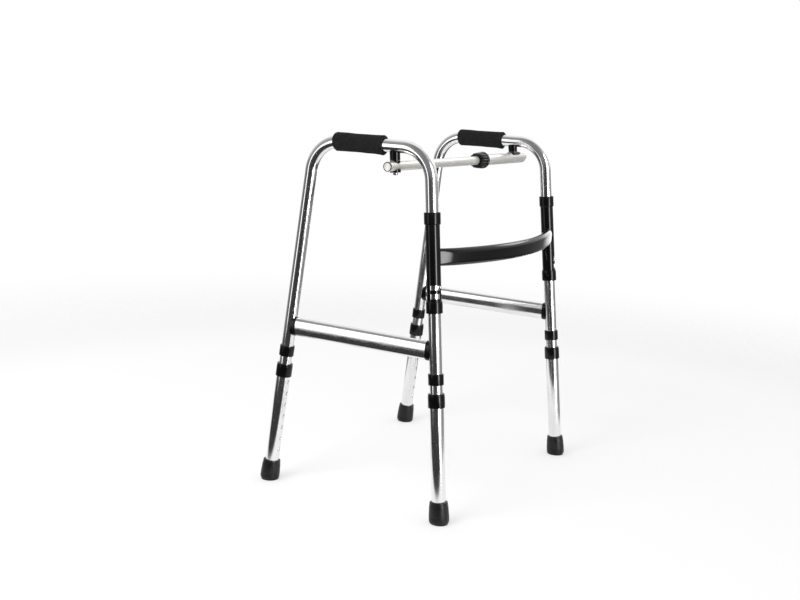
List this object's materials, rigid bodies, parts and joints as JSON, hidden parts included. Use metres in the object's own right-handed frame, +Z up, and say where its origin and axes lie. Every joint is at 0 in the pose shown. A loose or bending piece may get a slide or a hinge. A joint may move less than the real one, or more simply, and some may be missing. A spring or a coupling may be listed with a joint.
{
  "type": "walker",
  "caption": "Folding walking frame: two inverted-U side frames hinged in a bowed front brace, with foam grips, a telescoping link under the handles and push-button height-adjustable legs",
  "frame": {"origin": "middle of the object's footprint on the floor, under the four rubber feet", "axes": "+X the user's left, +Y the user's back, so the front brace is at -Y, +Z up"},
  "size_m": [0.6266, 0.4642, 0.754],
  "materials": {
    "bright_aluminium": "bright polished anodised tube",
    "pale_link": "pale satin metal",
    "black_coat": "gloss black coating",
    "black_plastic": "semi-gloss moulded plastic",
    "grey_plastic": "satin moulded plastic",
    "foam": "matte closed-cell foam",
    "rubber": "matte moulded rubber",
    "button_metal": "plated snap button",
    "steel": "plated fastener"
  },
  "bodies": {
    "brace": {"front_brace": "black_coat", "sleeve_left": "black_coat", "sleeve_right": "black_coat", "sleeve_top_bush_left": "black_plastic", "sleeve_bottom_bush_left": "black_plastic", "sleeve_top_bush_right": "black_plastic", "sleeve_bottom_bush_right": "black_plastic"},
    "side_frame_left": {"frame_tube_left": "bright_aluminium", "grip_left": "foam", "cross_tube_left": "bright_aluminium", "link_post_left": "black_plastic", "cross_saddle_front_left": "black_plastic", "leg_connector_front_left": "black_plastic", "height_tube_front_left": "bright_aluminium", "cross_saddle_rear_left": "black_plastic", "leg_connector_rear_left": "black_plastic", "height_tube_rear_left": "bright_aluminium"},
    "side_frame_right": {"frame_tube_right": "bright_aluminium", "grip_right": "foam", "cross_tube_right": "bright_aluminium", "link_post_right": "black_plastic", "cross_saddle_front_right": "black_plastic", "leg_connector_front_right": "black_plastic", "height_tube_front_right": "bright_aluminium", "cross_saddle_rear_right": "black_plastic", "leg_connector_rear_right": "black_plastic", "height_tube_rear_right": "bright_aluminium", "pivot_bolt": "steel", "pivot_nut": "steel"},
    "leg_front_left": {"leg_tube_front_left": "bright_aluminium", "leg_collar_front_left": "black_plastic", "foot_front_left": "rubber"},
    "leg_rear_left": {"leg_tube_rear_left": "bright_aluminium", "leg_collar_rear_left": "black_plastic", "foot_rear_left": "rubber"},
    "leg_front_right": {"leg_tube_front_right": "bright_aluminium", "leg_collar_front_right": "black_plastic", "foot_front_right": "rubber"},
    "leg_rear_right": {"leg_tube_rear_right": "bright_aluminium", "leg_collar_rear_right": "black_plastic", "foot_rear_right": "rubber"},
    "height_button_front_left": {"height_button_front_left": "button_metal"},
    "height_button_rear_left": {"height_button_rear_left": "button_metal"},
    "height_button_front_right": {"height_button_front_right": "button_metal"},
    "height_button_rear_right": {"height_button_rear_right": "button_metal"},
    "fold_button_left": {"fold_button_left": "button_metal"},
    "fold_button_right": {"fold_button_right": "button_metal"},
    "link_rod": {"link_rod": "pale_link", "link_rod_cap": "black_plastic", "link_guide_bush": "black_plastic", "pivot_upper_saddle": "black_plastic", "pivot_lower_saddle": "black_plastic"},
    "link_tube": {"link_tube": "pale_link", "link_tube_cap": "grey_plastic", "link_tube_saddle": "black_plastic", "link_collet": "black_plastic"},
    "clamp_nut": {"clamp_nut": "black_plastic"}
  },
  "joints": [
    {"name": "fold_left", "type": "hinge", "parent": "brace", "child": "side_frame_left", "pos_m": [0.27663, -0.21145, 0], "axis": [-0.0291, 0.1031, 0.9942], "range_deg": [0, 76.5]},
    {"name": "fold_right", "type": "hinge", "parent": "brace", "child": "side_frame_right", "pos_m": [-0.29277, -0.21145, 0], "axis": [-0.0291, -0.1031, -0.9942], "range_deg": [0, 60.5]},
    {"name": "link_swing", "type": "hinge", "parent": "side_frame_right", "child": "link_rod", "pos_m": [-0.27241, -0.058, 0.695], "axis": [0.0291, 0.1031, 0.9942], "range_deg": [0, 57.34]},
    {"name": "link_slide", "type": "slide", "parent": "link_rod", "child": "link_tube", "axis": [-1, 0, 0], "range_m": [0, 0.1489]},
    {"name": "clamp_nut_turn", "type": "hinge", "parent": "link_tube", "child": "clamp_nut", "pos_m": [0.085, -0.058, 0.695], "axis": [1, 0, 0], "range_deg": [0, 180]},
    {"name": "height_slide_front_left", "type": "slide", "parent": "side_frame_left", "child": "leg_front_left", "axis": [0.0291, -0.1031, -0.9942], "range_m": [0, 0.1524]},
    {"name": "height_slide_rear_left", "type": "slide", "parent": "side_frame_left", "child": "leg_rear_left", "axis": [0.0291, 0.1031, -0.9942], "range_m": [0, 0.1524]},
    {"name": "height_slide_front_right", "type": "slide", "parent": "side_frame_right", "child": "leg_front_right", "axis": [-0.0291, -0.1031, -0.9942], "range_m": [0, 0.1524]},
    {"name": "height_slide_rear_right", "type": "slide", "parent": "side_frame_right", "child": "leg_rear_right", "axis": [-0.0291, 0.1031, -0.9942], "range_m": [0, 0.1524]},
    {"name": "height_button_press_front_left", "type": "slide", "parent": "side_frame_left", "child": "height_button_front_left", "axis": [-0.003, -0.9947, 0.1031], "range_m": [0, 0.0035], "stiffness_N_per_m": 400, "springref_m": -0.004},
    {"name": "height_button_press_rear_left", "type": "slide", "parent": "side_frame_left", "child": "height_button_rear_left", "axis": [-0.003, 0.9947, 0.1031], "range_m": [0, 0.0035], "stiffness_N_per_m": 400, "springref_m": -0.004},
    {"name": "height_button_press_front_right", "type": "slide", "parent": "side_frame_right", "child": "height_button_front_right", "axis": [0.003, -0.9947, 0.1031], "range_m": [0, 0.0035], "stiffness_N_per_m": 400, "springref_m": -0.004},
    {"name": "height_button_press_rear_right", "type": "slide", "parent": "side_frame_right", "child": "height_button_rear_right", "axis": [0.003, 0.9947, 0.1031], "range_m": [0, 0.0035], "stiffness_N_per_m": 400, "springref_m": -0.004},
    {"name": "fold_button_press_left", "type": "slide", "parent": "side_frame_left", "child": "fold_button_left", "axis": [0.003, 0.9947, -0.1031], "range_m": [0, 0.0048], "stiffness_N_per_m": 400, "springref_m": -0.004},
    {"name": "fold_button_press_right", "type": "slide", "parent": "side_frame_right", "child": "fold_button_right", "axis": [-0.003, 0.9947, -0.1031], "range_m": [0, 0.0048], "stiffness_N_per_m": 400, "springref_m": -0.004}
  ],
  "couplings": [
    {"joint": "fold_right", "follows": "fold_left", "ratio": 0.7908},
    {"joint": "link_swing", "follows": "fold_left", "ratio": 0.74953},
    {"joint": "link_slide", "follows": "fold_left", "m_per_rad": 0.11147}
  ]
}
